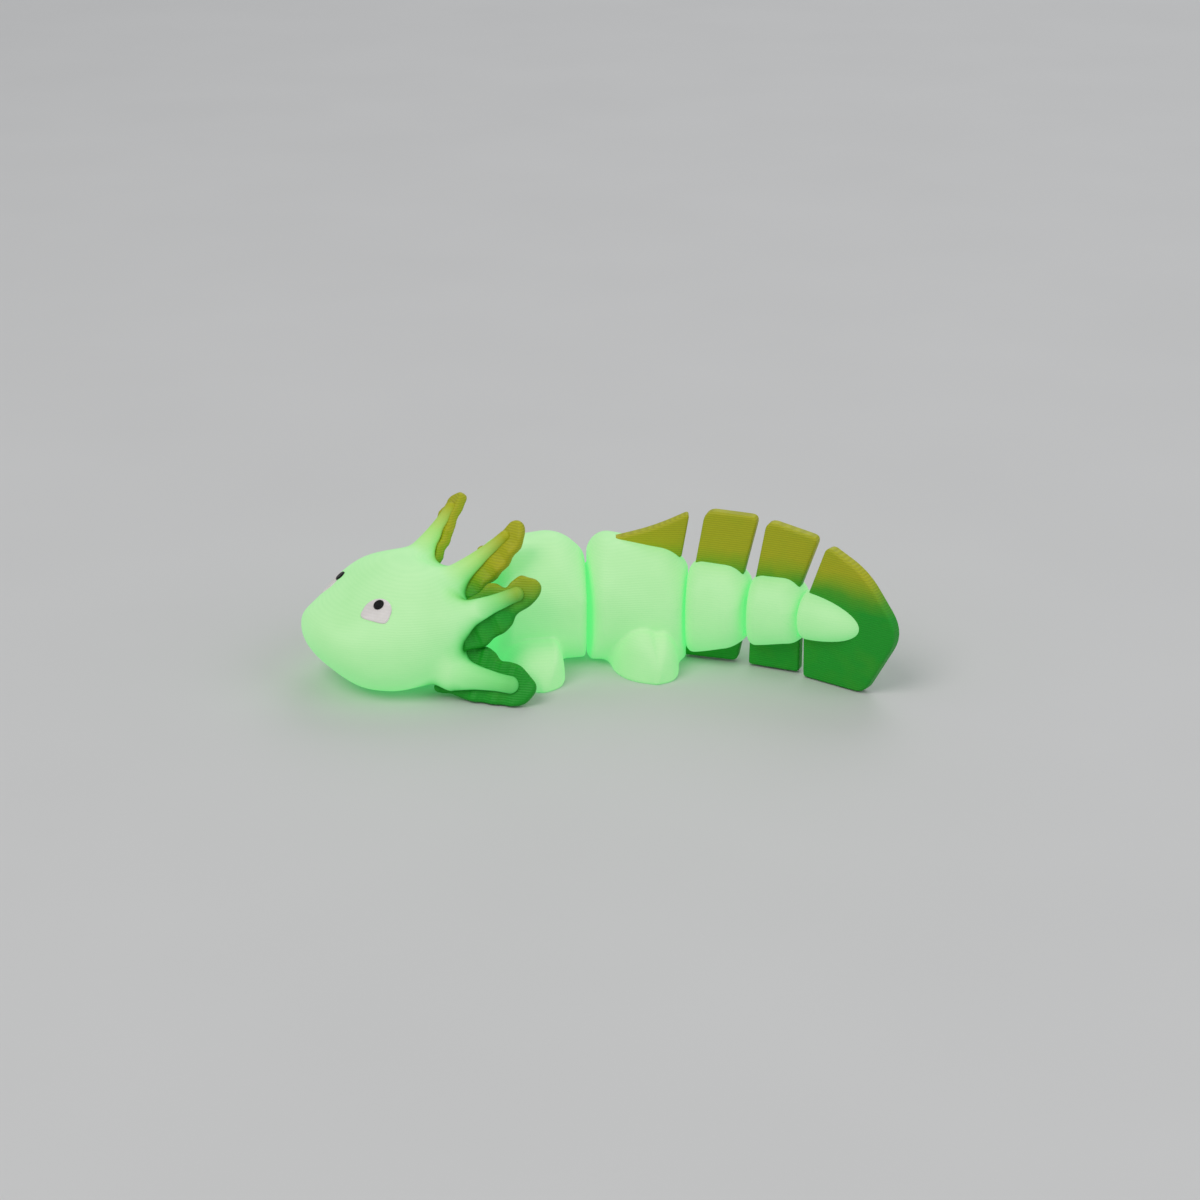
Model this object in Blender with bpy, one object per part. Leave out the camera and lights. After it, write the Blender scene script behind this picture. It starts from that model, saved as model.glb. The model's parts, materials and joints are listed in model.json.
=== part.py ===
"""A small 3D-printed axolotl toy: six links that swing on five upright hinges.

Each link's frame has X toward the tail, Y toward the animal's right and Z up, with
its origin on the hinge that carries it, at floor level. Sizes here are millimetres.
"""

import math

import bmesh
import bpy
from mathutils import Vector

MM = 0.001
GAP = 0.3                 # air between neighbouring solids of one link
FRILL_PLATE = 1.2         # thickness of the gill frills
FIN_PLATE = 1.5           # and of the fins

# The curved pose: how far each hinge is turned from straight, in degrees.
NECK_TURN = 16.0
WAIST_TURN = 14.0
TAIL_TURNS = (17.0, 6.0, 14.0)

# Hinges: an upright knuckle of one link sits in a pocket of the link before it.
LINK_GAP = 0.5            # between two link faces, when straight
TRUNK_LIMIT = 22.0        # swing from straight, in degrees
TAIL_LIMIT = 19.0
CLEARANCE = 0.35          # between knuckle and pocket
NECK_ROOT = 2.0           # how far a knuckle's neck is buried in its own link
MOUTH_REACH = 3.0         # how far a pocket's mouth is cut past the link's face
MOUTH_START = 0.7         # where the mouth begins to widen, as a share of the pocket's radius
KNUCKLE_STEPS = 18
WEDGE_DEPTH = 3.5         # how far from a link's face its slope fades out
WEDGE_FLAT = 0.8          # half width of the face's unsloped middle

SIDES = 24                # points round a link's section
TIP_SIDES = 20            # and round the tail tip's cone
END_STEPS = (0.0, 0.12, 0.35, 0.65, 1.0)   # rings along a rounded end
LEFT, RIGHT = -1, 1
SIDE_WORDS = ((LEFT, "left"), (RIGHT, "right"))


class Hinge:
    """Sizes of one hinge: the knuckle, its neck, and how deep the pocket sits."""

    def __init__(self, set_back, radius, neck, bottom, top, limit):
        self.set_back = set_back
        self.radius = radius
        self.neck = neck
        self.bottom = bottom
        self.top = top
        self.limit = math.radians(limit)

    def knuckle_at(self):
        return self.set_back + LINK_GAP


NECK = Hinge(3.2, 2.7, 1.7, 3.4, 9.4, TRUNK_LIMIT)
WAIST = Hinge(3.2, 2.7, 1.7, 3.4, 11.0, TRUNK_LIMIT)
TAIL_HINGES = (
    Hinge(3.0, 2.2, 1.5, 3.6, 8.8, TAIL_LIMIT),
    Hinge(2.4, 1.7, 1.3, 4.4, 8.2, TAIL_LIMIT),
    Hinge(2.2, 1.4, 1.2, 5.4, 8.8, TAIL_LIMIT),
)


class Link:
    """A barrel-shaped link: its length, end sections and the rounding of its ends."""

    def __init__(self, start, length, front, rear, round_front, round_rear, wedge):
        self.start = start
        self.length = length
        self.front = front          # half width, bottom and top at the front end
        self.rear = rear
        self.round_front = round_front
        self.round_rear = round_rear
        self.wedge = math.tan(math.radians(wedge) / 2)

    def end(self):
        return self.start + self.length

    def section(self, x):
        """Half width, bottom and top at x, before the ends are rounded."""
        t = min(max((x - self.start) / self.length, 0.0), 1.0)
        t = t * t * (3 - 2 * t)
        return [a + (b - a) * t for a, b in zip(self.front, self.rear)]


HIPS_LENGTH = 11.7
CHEST_LENGTH = 11.9
HIPS = Link(-5.5, HIPS_LENGTH, (7.0, -0.2, 15.0), (6.3, -0.1, 13.2), 2.2, 3.3, TRUNK_LIMIT)
CHEST = Link(WAIST.set_back - CHEST_LENGTH, CHEST_LENGTH,
             (6.6, -0.1, 14.6), (7.2, -0.2, 15.1), 2.2, 3.4, TRUNK_LIMIT)
TAIL_LINKS = (
    Link(TAIL_HINGES[0].knuckle_at(), 7.1, (4.9, 0.9, 12.4), (4.5, 2.2, 12.2), 1.3, 1.9, TAIL_LIMIT),
    Link(TAIL_HINGES[1].knuckle_at(), 6.4, (4.0, 2.8, 11.6), (3.6, 3.8, 11.8), 1.2, 1.7, TAIL_LIMIT),
)

# Head: x, half width, bottom, top, from the rear face to the snout.
HEAD_REAR = NECK.set_back
HEAD_STATIONS = (
    (3.2, 6.0, 1.3, 10.9),
    (0.0, 7.0, 1.0, 11.6),
    (-2.0, 8.5, 0.5, 12.5),
    (-4.0, 9.8, -0.1, 13.6),
    (-7.5, 10.3, -0.2, 13.9),
    (-10.8, 9.5, -0.1, 12.7),
    (-13.6, 7.8, 0.9, 10.9),
    (-16.0, 5.9, 3.0, 9.8),
)
SNOUT = (-18.1, 7.0)       # x and height of the snout's tip
SNOUT_STEPS = (0.45, 0.75, 0.93)
HEAD_ROUND = 2.2           # rounding of the head's rear edge
HEAD_RINGS = 11
HEAD_POWER = 2.3           # squareness of a section: 2 is an ellipse
LINK_POWER = 2.15

# Tail tip: a cone whose axis keeps one height, in a broad rounded fin.
TIP_START = TAIL_HINGES[2].knuckle_at()
TIP_RADIUS = 3.0
TIP_HEIGHT = 7.8
TIP_LENGTH = 7.9
TIP_ROUND = 0.8
TIP_POWER = 1.8            # how late the cone narrows: 1 is a straight cone
TIP_STEPS = (0.0, 0.03, 0.09, 0.2, 0.4, 0.6, 0.78, 0.9, 0.97)

# Fins: corners as distance behind the link's front end, height and rounding.
FINS = {
    "fin_hips": ((3.3, 14.6, 0), (7.8, 15.75, 2.5), (12.0, 17.7, 0.7), (11.1, 12.2, 0.4), (4.5, 12.0, 0)),
    "fin_upper_base": ((0.4, 9.5, 0), (1.9, 18.6, 1.3), (8.2, 18.4, 1.0), (6.2, 9.5, 0)),
    "fin_lower_base": ((0.6, 3.0, 0), (-0.6, 0.4, 0.3), (6.0, 0.4, 0.6), (6.7, 4.0, 0)),
    "fin_upper_middle": ((0.3, 9.5, 0), (1.8, 18.3, 1.2), (8.1, 17.0, 0.9), (5.6, 9.5, 0)),
    "fin_lower_middle": ((0.1, 4.5, 0), (0.0, 0.3, 0.4), (6.2, 0.3, 0.5), (6.2, 5.0, 0)),
    "fin_tip": ((0.1, 7.8, 0), (0.3, 9.5, 0), (2.9, 16.8, 1.0), (7.9, 14.6, 2.4),
                (12.9, 8.3, 2.8), (8.4, 0.0, 1.4), (0.3, 0.0, 0.5)),
}

STEM_TIP = 0.55
STEM_STEPS = (0.0, 0.2, 0.4, 0.6, 0.8, 0.93, 1.0)
STEM_SIDES = 12
FRILL_OVERHANG = 1.4       # how far a frill runs past its stem
FRILL_START = -0.15        # the root, as a share of the frill's length from the stem's base
FRILL_STEPS = 22
FRILL_TAPER = 3.2          # how late the frill narrows toward its tip
FRILL_WAVES = 3.2
FRILL_WAVE_DEPTH = 0.32
FRILL_LIFT = 1.2           # keeps a leaning frill's lower edge off the floor


class Gill:
    """One gill stem with its frill, given for the animal's right-hand side."""

    def __init__(self, name, base, tip, radius, lean, above, below):
        self.name = name
        self.base = base
        self.tip = tip
        self.radius = radius        # of the stem at its base
        self.lean = lean            # of the frill, in degrees from upright
        self.above = above          # how far the frill reaches to each side of the stem
        self.below = below


GILLS = (
    Gill("upper", (-1.8, 4.4, 11.2), (4.2, 6.3, 17.4), 1.8, -59.0, 1.2, 2.6),
    Gill("middle", (-4.4, 8.0, 9.2), (4.2, 11.8, 13.0), 1.5, -27.0, 1.4, 3.9),
    Gill("lower", (-4.4, 9.4, 3.4), (1.0, 15.4, 1.9), 1.8, -33.0, 3.0, 3.2),
)


class Leg:
    """A paddle leg: where it leaves its link, front to rear, and how far out it reaches."""

    def __init__(self, name, front, rear, reach, toe_drop):
        self.name = name
        self.front = front
        self.rear = rear
        self.reach = reach
        self.toe_drop = toe_drop    # how much lower than the heel lobe the rest is


FRONT_LEG = Leg("front", -8.0, -0.6, 11.4, 1.3)
REAR_LEG = Leg("rear", -2.8, 5.2, 9.8, 0.0)
# Share of the reach, trim at the front, trim at the rear, height.
LEG_STATIONS = (
    (0.35, 0.0, 0.0, 6.8),
    (0.62, 0.3, 0.0, 6.4),
    (0.76, 0.8, 0.1, 5.4),
    (0.88, 1.5, 0.3, 4.1),
    (0.96, 2.2, 0.8, 2.9),
    (1.0, 2.9, 1.4, 1.8),
)
LEG_SIDES = 18
LEG_POWER = 2.6
HEEL_AT = 0.38             # where the heel's crease lies, from -1 (front) to 1 (rear)
HEEL_WIDTH = 0.13
HEEL_CREASE = 0.16         # depth of the crease, as a share of the leg's height
SOLE_EDGE = 0.4            # height of the sole's bevelled edge
SOLE_INSET = 0.5

EYE_X = -11.7
EYE_ANGLE = 58.5           # round the head's section, from the side to the top
EYE_WIDTH = 3.9
EYE_HEIGHT = 3.0
EYE_PROUD = 0.35
EYE_DEPTH = 1.6
EYE_DROP = 0.6             # how far the white sits below the pupil
PUPIL_RADIUS = 0.63
PUPIL_PROUD = 0.1          # above the white
PUPIL_DEPTH = 0.9
ROOM_REACH = 4.0           # how far an eye's cutter stands out of the skin


def clear_scene():
    """Start from nothing."""
    for thing in list(bpy.data.objects):
        bpy.data.objects.remove(thing, do_unlink=True)


def material(name, color, roughness):
    """Return the named Principled material."""
    found = bpy.data.materials.get(name)
    if found:
        return found
    made = bpy.data.materials.new(name)
    made.use_nodes = True
    shader = made.node_tree.nodes["Principled BSDF"]
    shader.inputs["Base Color"].default_value = (*color, 1.0)
    shader.inputs["Roughness"].default_value = roughness
    shader.inputs["Metallic"].default_value = 0.0
    return made


def glow_body():
    return material("glow_body", (0.36, 0.92, 0.40), 0.55)


def fin_filament():
    return material("fin_filament", (0.22, 0.30, 0.03), 0.5)


def eye_white():
    return material("eye_white", (0.60, 0.60, 0.54), 0.5)


def pupil_black():
    return material("pupil_black", (0.01, 0.01, 0.01), 0.45)


def finish_mesh(name, bm, parent, surface):
    """Turn a bmesh in millimetres into a named object under its link's frame."""
    bmesh.ops.recalc_face_normals(bm, faces=bm.faces)
    bmesh.ops.scale(bm, vec=(MM, MM, MM), verts=bm.verts)
    mesh = bpy.data.meshes.new(name)
    bm.to_mesh(mesh)
    bm.free()
    mesh.shade_smooth()
    mesh.set_sharp_from_angle(angle=math.radians(40))
    piece = bpy.data.objects.new(name, mesh)
    bpy.context.scene.collection.objects.link(piece)
    piece.parent = parent
    if surface:
        mesh.materials.append(surface)
    return piece


def helper(name, bm, parent):
    """An object that only cuts or joins another one."""
    piece = finish_mesh(name, bm, parent, None)
    piece.hide_render = True
    piece.display_type = "WIRE"
    return piece


def combine(piece, other, operation):
    """Add one Boolean step to a piece."""
    step = piece.modifiers.new(other.name, "BOOLEAN")
    step.operation = operation
    step.solver = "EXACT"
    step.object = other


def skin_rings(rings):
    """Bridge closed rings of equal size, the first and last being single points."""
    bm = bmesh.new()
    rows = [[bm.verts.new(p) for p in ring] for ring in rings]
    for near, far in zip(rows, rows[1:]):
        count = max(len(near), len(far))
        for i in range(count):
            j = (i + 1) % count
            if len(near) == 1:
                bm.faces.new((near[0], far[i], far[j]))
            elif len(far) == 1:
                bm.faces.new((near[i], far[0], near[j]))
            else:
                bm.faces.new((near[i], far[i], far[j], near[j]))
    return bm


def section_point(half_width, bottom, top, power, angle):
    """A point (across, up) of a rounded section that is flat on the floor."""
    c, s = math.cos(angle), math.sin(angle)
    across = half_width * math.copysign(abs(c) ** (2 / power), c)
    up = (top + bottom) / 2 + (top - bottom) / 2 * math.copysign(abs(s) ** (2 / power), s)
    return across, max(up, 0.0)


def section_ring(x, half_width, bottom, top, power, sides=SIDES):
    """A ring of points across the link at x."""
    ring = []
    for i in range(sides):
        across, up = section_point(half_width, bottom, top, power, math.tau * (i + 0.5) / sides)
        ring.append((x, across, up))
    return ring


def shrink(ring, factor):
    """The same ring drawn in toward its middle."""
    middle = sum((Vector(p) for p in ring), Vector()) / len(ring)
    return [tuple(middle.lerp(Vector(p), factor)) for p in ring]


def rounding(distance, radius):
    """How far a rounded end draws in at a distance from its face."""
    if distance >= radius:
        return 0.0
    return radius - math.sqrt(radius ** 2 - (radius - distance) ** 2)


def lean_back(point, face, wedge, inward):
    """Slope an end face away from its middle line so that the link can swing."""
    x, y, z = point
    near = max(0.0, 1 - abs(face - x) / WEDGE_DEPTH)
    return (x + inward * wedge * near * (math.hypot(y, WEDGE_FLAT) - WEDGE_FLAT), y, z)


def link_rings(link, grow=0.0):
    """All rings of a barrel link, with its rounded and sloping ends."""
    start, end = link.start - grow, link.end() + grow
    xs = [start + link.round_front * s for s in END_STEPS]
    xs.append((start + end) / 2)
    xs += [end - link.round_rear * s for s in reversed(END_STEPS)]
    rings = []
    for x in xs:
        half_width, bottom, top = link.section(x)
        inset = rounding(x - start, link.round_front) + rounding(end - x, link.round_rear) - grow
        rings.append(section_ring(x, half_width - inset, bottom + inset, top - inset, LINK_POWER))
    first, last = rings[0], rings[-1]
    rings = [shrink(first, f) for f in (0.0, 0.5, 0.8)] + rings
    rings += [shrink(last, f) for f in (0.8, 0.5, 0.0)]
    rings[0], rings[-1] = rings[0][:1], rings[-1][:1]
    middle = (start + end) / 2
    shaped = []
    for ring in rings:
        row = []
        for p in ring:
            if p[0] < middle:
                row.append(lean_back(p, start, link.wedge, 1))
            else:
                row.append(lean_back(p, end, link.wedge, -1))
        shaped.append(row)
    return shaped


def keyhole(radius, neck_near, neck_far, reach, bottom, top):
    """An upright prism: a round post with a flat neck that runs toward the tail."""
    start = math.asin(neck_near / radius)
    outline = [(reach, neck_far)]
    for i in range(KNUCKLE_STEPS + 1):
        angle = start + (math.tau - 2 * start) * i / KNUCKLE_STEPS
        outline.append((radius * math.cos(angle), radius * math.sin(angle)))
    outline.append((reach, -neck_far))
    bm = bmesh.new()
    low = [bm.verts.new((x, y, bottom)) for x, y in outline]
    high = [bm.verts.new((x, y, top)) for x, y in outline]
    bm.faces.new(low)
    bm.faces.new(high)
    for i in range(len(outline)):
        j = (i + 1) % len(outline)
        bm.faces.new((low[i], low[j], high[j], high[i]))
    return bm


def shift(bm, x):
    bmesh.ops.translate(bm, vec=(x, 0, 0), verts=bm.verts)
    return bm


def add_pocket(piece, hinge, at, parent):
    """Cut the rear pocket, whose mouth widens so that the neck can swing."""
    radius = hinge.radius + CLEARANCE
    half = hinge.neck / 2 / math.cos(hinge.limit) + CLEARANCE
    near = half + radius * MOUTH_START * math.tan(hinge.limit)
    reach = hinge.set_back + MOUTH_REACH
    far = half + reach * math.tan(hinge.limit)
    bm = keyhole(radius, near, far, reach, hinge.bottom - CLEARANCE, hinge.top + CLEARANCE)
    cutter = helper(piece.name + "_pocket", shift(bm, at), parent)
    combine(piece, cutter, "DIFFERENCE")


def add_knuckle(piece, hinge, at, parent):
    """Join the knuckle and its neck to the front of a link."""
    reach = hinge.knuckle_at() + NECK_ROOT
    bm = keyhole(hinge.radius, hinge.neck / 2, hinge.neck / 2, reach, hinge.bottom, hinge.top)
    knuckle = helper(piece.name + "_knuckle", shift(bm, at), parent)
    combine(piece, knuckle, "UNION")


def smooth_between(stations, x):
    """Read a table of stations at x along a smooth curve."""
    order = sorted(stations)
    x = min(max(x, order[0][0]), order[-1][0])
    i = max(k for k in range(len(order) - 1) if order[k][0] <= x)
    a, b = order[i], order[i + 1]
    before = order[max(i - 1, 0)]
    after = order[min(i + 2, len(order) - 1)]
    width = b[0] - a[0]
    t = (x - a[0]) / width
    values = []
    for k in range(1, len(a)):
        slope_a = (b[k] - before[k]) / (b[0] - before[0]) * width
        slope_b = (after[k] - a[k]) / (after[0] - a[0]) * width
        values.append((2 * t ** 3 - 3 * t ** 2 + 1) * a[k] + (t ** 3 - 2 * t ** 2 + t) * slope_a
                      + (3 * t ** 2 - 2 * t ** 3) * b[k] + (t ** 3 - t ** 2) * slope_b)
    return values


def head_rings(grow=0.0):
    """Rings from the rear face of the head to the tip of the snout."""
    rear = HEAD_REAR
    last = min(s[0] for s in HEAD_STATIONS)
    xs = [rear - HEAD_ROUND * s for s in (0.0, 0.18, 0.5, 1.0)]
    body = last - xs[-1]
    xs += [xs[-1] + body * (i + 1) / HEAD_RINGS for i in range(HEAD_RINGS)]
    rings = []
    for x in xs:
        half_width, bottom, top = smooth_between(HEAD_STATIONS, x)
        inset = rounding(rear - x, HEAD_ROUND) - grow
        rings.append(section_ring(x, half_width - inset, bottom + inset, top - inset, HEAD_POWER))
    nose_x, nose_z = SNOUT
    blunt = rings[-1]
    nose = Vector((nose_x - grow, 0, nose_z))
    for t in SNOUT_STEPS:
        scale = math.sqrt(1 - t * t)
        x = last + (nose_x - grow - last) * t
        rings.append([(x, p[1] * scale, nose_z + (p[2] - nose_z) * scale) for p in blunt])
    rings.append([tuple(nose)])
    face = rings[0]
    rings = [shrink(face, 0.0)[:1], shrink(face, 0.5), shrink(face, 0.8)] + rings
    wedge = math.tan(math.radians(TRUNK_LIMIT) / 2)
    return [[lean_back(p, rear, wedge, -1) for p in ring] for ring in rings]


def tip_rings(grow=0.0):
    """Rings of the tail tip's cone."""
    start = TIP_START - grow
    rings = []
    for t in TIP_STEPS:
        x = start + (TIP_LENGTH + 2 * grow) * t
        radius = TIP_RADIUS * math.sqrt(1 - t ** TIP_POWER) + grow
        radius -= rounding(x - start, TIP_ROUND)
        rings.append(section_ring(x, radius, TIP_HEIGHT - radius, TIP_HEIGHT + radius, 2, TIP_SIDES))
    face = rings[0]
    rings = [shrink(face, 0.0)[:1], shrink(face, 0.6)] + rings
    rings.append([(start + TIP_LENGTH + 2 * grow, 0, TIP_HEIGHT)])
    wedge = math.tan(math.radians(TAIL_LIMIT) / 2)
    return [[lean_back(p, start, wedge, 1) for p in ring] for ring in rings]


def plate_mesh(outline):
    """An upright plate on the middle plane from an outline of (x, z) points."""
    bm = bmesh.new()
    near = [bm.verts.new((x, -FIN_PLATE / 2, z)) for x, z in outline]
    far = [bm.verts.new((x, FIN_PLATE / 2, z)) for x, z in outline]
    bm.faces.new(near)
    bm.faces.new(far)
    for i in range(len(outline)):
        j = (i + 1) % len(outline)
        bm.faces.new((near[i], near[j], far[j], far[i]))
    return bm


def rounded(corners, steps=4):
    """An outline with each corner (x, z, radius) turned into an arc-like curve."""
    outline = []
    for i, (x, z, radius) in enumerate(corners):
        here = Vector((x, z))
        before = Vector(corners[i - 1][:2])
        after = Vector(corners[(i + 1) % len(corners)][:2])
        if radius == 0:
            outline.append(tuple(here))
            continue
        enter = here + (before - here).normalized() * radius
        leave = here + (after - here).normalized() * radius
        for k in range(steps + 1):
            t = k / steps
            outline.append(tuple(enter.lerp(here, t).lerp(here.lerp(leave, t), t)))
    return outline


def make_fin(name, start, cutter, frame):
    """A plate fin that follows the link it stands on, a gap away from it."""
    corners = [(start + x, z, radius) for x, z, radius in FINS[name]]
    fin = finish_mesh(name, plate_mesh(rounded(corners)), frame, fin_filament())
    combine(fin, cutter, "DIFFERENCE")
    return fin


def leg_mesh(leg, side):
    """A toeless paddle leg: a haunch with a heel lobe that runs out to a flat sole."""
    bm = bmesh.new()
    rows = []
    for share, front_trim, rear_trim, height in LEG_STATIONS:
        y = side * leg.reach * share
        a, b = leg.front + front_trim, leg.rear - rear_trim
        row = []
        for i in range(LEG_SIDES):
            u = -1 + 2 * i / (LEG_SIDES - 1)
            lobe = (1 - abs(u) ** LEG_POWER) ** 0.5
            heel = 1 - HEEL_CREASE * math.exp(-((u - HEEL_AT) / HEEL_WIDTH) ** 2)
            drop = leg.toe_drop * (1 + math.tanh((HEEL_AT - u) / HEEL_WIDTH)) / 2
            up = SOLE_EDGE + (height - SOLE_EDGE - drop) * lobe * heel
            row.append((a + (b - a) * (u + 1) / 2, y, up))
        row.append((b - SOLE_INSET, y, 0.0))
        row.append((a + SOLE_INSET, y, 0.0))
        rows.append([bm.verts.new(p) for p in row])
    for near, far in zip(rows, rows[1:]):
        for i in range(len(near)):
            j = (i + 1) % len(near)
            bm.faces.new((near[i], near[j], far[j], far[i]))
    bm.faces.new(rows[0])
    bm.faces.new(rows[-1])
    return bm


def make_legs(leg, cutter, frame):
    for side, word in SIDE_WORDS:
        paddle = finish_mesh(f"leg_{leg.name}_{word}", leg_mesh(leg, side), frame, glow_body())
        combine(paddle, cutter, "DIFFERENCE")


def mirrored(point, side):
    """A point given for the right-hand side, moved to either side."""
    return Vector((point[0], point[1] * side, point[2]))


def gill_axes(base, tip, lean):
    """Directions along a gill, up across its frill, and out of the frill's front."""
    along = (tip - base).normalized()
    turn = math.radians(lean)
    across = Vector((0, math.copysign(math.sin(turn), base.y * turn), math.cos(turn)))
    across = (across - along * across.dot(along)).normalized()
    out = along.cross(across)
    return along, across, out if out.x < 0 else -out


def stem_mesh(gill, side, grow=0.0):
    """A tapered gill stem with a round end."""
    base, tip = mirrored(gill.base, side), mirrored(gill.tip, side)
    along, across, out = gill_axes(base, tip, gill.lean)
    length = (tip - base).length
    rings = []
    for t in STEM_STEPS:
        radius = gill.radius + (STEM_TIP - gill.radius) * t + grow
        if t == 1.0:
            radius *= 0.6
        middle = base + along * (length * t + (grow if t == 1.0 else 0.0))
        ring = []
        for i in range(STEM_SIDES):
            angle = math.tau * i / STEM_SIDES
            ring.append(tuple(middle + across * radius * math.cos(angle) + out * radius * math.sin(angle)))
        rings.append(ring)
    rings = [[tuple(base - along * grow)]] + rings + [[tuple(tip + along * (0.3 + grow))]]
    return skin_rings(rings)


def frill_mesh(gill, side):
    """A thin frill with a wavy edge behind its stem, wider toward the head."""
    base, tip = mirrored(gill.base, side), mirrored(gill.tip, side)
    along, across, out = gill_axes(base, tip, gill.lean)
    length = (tip - base).length + FRILL_OVERHANG
    back = -(gill.radius * 0.55 + FRILL_PLATE / 2)

    def edge(reach, t, phase):
        body = reach * math.sqrt(max(0.0, 1 - max(t, 0.0) ** FRILL_TAPER))
        wave = FRILL_WAVE_DEPTH * math.sin(t * math.tau * FRILL_WAVES + phase)
        return body + wave * min(1, 4 * (1 - t))

    outline = []
    shares = [FRILL_START + (1 - FRILL_START) * i / FRILL_STEPS for i in range(FRILL_STEPS + 1)]
    for t in shares:
        outline.append((t, edge(gill.above, t, 0.0)))
    for t in shares[-2::-1]:
        room_below = ((base + along * (length * t)).z - FRILL_LIFT) / across.z
        outline.append((t, -min(edge(gill.below, t, 1.5), room_below)))
    bm = bmesh.new()
    layers = []
    for side in (-1, 1):
        layer = []
        for t, w in outline:
            drift = back * (1 - t) - STEM_TIP * t
            point = base + along * (length * t) + across * w + out * (drift + side * FRILL_PLATE / 2)
            layer.append(bm.verts.new(point))
        layers.append(layer)
    bm.faces.new(layers[0])
    bm.faces.new(layers[1])
    for i in range(len(outline)):
        j = (i + 1) % len(outline)
        bm.faces.new((layers[0][i], layers[0][j], layers[1][j], layers[1][i]))
    return bm


def make_gills(head_cutter, frame):
    for side, word in SIDE_WORDS:
        for gill in GILLS:
            name = f"{gill.name}_{word}"
            stem = finish_mesh("gill_" + name, stem_mesh(gill, side), frame, glow_body())
            combine(stem, head_cutter, "DIFFERENCE")
            frill = finish_mesh("frill_" + name, frill_mesh(gill, side), frame, fin_filament())
            fat_stem = helper("stem_room_" + name, stem_mesh(gill, side, GAP), frame)
            combine(frill, head_cutter, "DIFFERENCE")
            combine(frill, fat_stem, "DIFFERENCE")


def head_surface(x, angle, side):
    """A point of the head's skin."""
    half_width, bottom, top = smooth_between(HEAD_STATIONS, x)
    across, up = section_point(half_width, bottom, top, HEAD_POWER, angle)
    return Vector((x, across * side, up))


def eye_frame(side):
    """Position and axes of an eye: outward normal and the two directions of its face."""
    angle = math.radians(EYE_ANGLE)
    here = head_surface(EYE_X, angle, side)
    lengthwise = head_surface(EYE_X - 1, angle, side) - head_surface(EYE_X + 1, angle, side)
    crosswise = head_surface(EYE_X, angle + 0.1, side) - head_surface(EYE_X, angle - 0.1, side)
    normal = lengthwise.cross(crosswise).normalized()
    if normal.z < 0:
        normal = -normal
    along = Vector((0, 0, 1)).cross(normal).normalized()
    return here, normal, along, normal.cross(along)


def pad_mesh(place, width, height, low, high, power=3.5, count=20):
    """A short rounded-square post that stands on the skin."""
    here, normal, along, up = place
    bm = bmesh.new()
    layers = []
    for level in (low, high):
        layer = []
        for i in range(count):
            angle = math.tau * i / count
            c, s = math.cos(angle), math.sin(angle)
            u = width / 2 * math.copysign(abs(c) ** (2 / power), c)
            v = height / 2 * math.copysign(abs(s) ** (2 / power), s)
            layer.append(bm.verts.new(here + along * u + up * v + normal * level))
        layers.append(layer)
    bm.faces.new(layers[0])
    bm.faces.new(layers[1])
    for i in range(count):
        j = (i + 1) % count
        bm.faces.new((layers[0][i], layers[0][j], layers[1][j], layers[1][i]))
    return bm


def make_eyes(head, frame):
    for side, word in SIDE_WORDS:
        here, normal, along, up = eye_frame(side)
        place = (here - up * EYE_DROP, normal, along, up)
        white = pad_mesh(place, EYE_WIDTH, EYE_HEIGHT, -EYE_DEPTH, EYE_PROUD)
        white = finish_mesh(f"eye_{word}", white, frame, eye_white())
        room = pad_mesh(place, EYE_WIDTH + 2 * GAP, EYE_HEIGHT + 2 * GAP, -EYE_DEPTH - GAP, ROOM_REACH)
        combine(head, helper(f"eye_room_{word}", room, frame), "DIFFERENCE")
        place = (here, normal, along, up)
        size = 2 * PUPIL_RADIUS
        low = EYE_PROUD - PUPIL_DEPTH
        pupil = pad_mesh(place, size, size, low, EYE_PROUD + PUPIL_PROUD, 2.0, 14)
        finish_mesh(f"pupil_{word}", pupil, frame, pupil_black())
        size += 2 * GAP
        room = pad_mesh(place, size, size, low - GAP, ROOM_REACH, 2.0, 14)
        combine(white, helper(f"pupil_room_{word}", room, frame), "DIFFERENCE")


def hinge_frame(name, parent, x, turn):
    """An empty on a hinge's axis: the frame of the link that the hinge carries."""
    empty = bpy.data.objects.new(name, None)
    bpy.context.scene.collection.objects.link(empty)
    empty.parent = parent
    empty.location = (x * MM, 0, 0)
    empty.rotation_euler = (0, 0, math.radians(turn))
    return empty


def make_head(frame):
    head = finish_mesh("head", skin_rings(head_rings()), frame, glow_body())
    add_pocket(head, NECK, 0.0, frame)
    make_eyes(head, frame)
    room = helper("head_room", skin_rings(head_rings(GAP)), frame)
    make_gills(room, frame)


def make_chest(frame):
    chest = finish_mesh("chest", skin_rings(link_rings(CHEST)), frame, glow_body())
    add_pocket(chest, WAIST, 0.0, frame)
    add_knuckle(chest, NECK, CHEST.start - NECK.knuckle_at(), frame)
    room = helper("chest_room", skin_rings(link_rings(CHEST, GAP)), frame)
    make_legs(FRONT_LEG, room, frame)


def make_hips(frame):
    hips = finish_mesh("hips", skin_rings(link_rings(HIPS)), frame, glow_body())
    add_pocket(hips, TAIL_HINGES[0], HIPS.end() - TAIL_HINGES[0].set_back, frame)
    add_knuckle(hips, WAIST, HIPS.start - WAIST.knuckle_at(), frame)
    room = helper("hips_room", skin_rings(link_rings(HIPS, GAP)), frame)
    make_legs(REAR_LEG, room, frame)
    make_fin("fin_hips", HIPS.start, room, frame)


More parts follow.
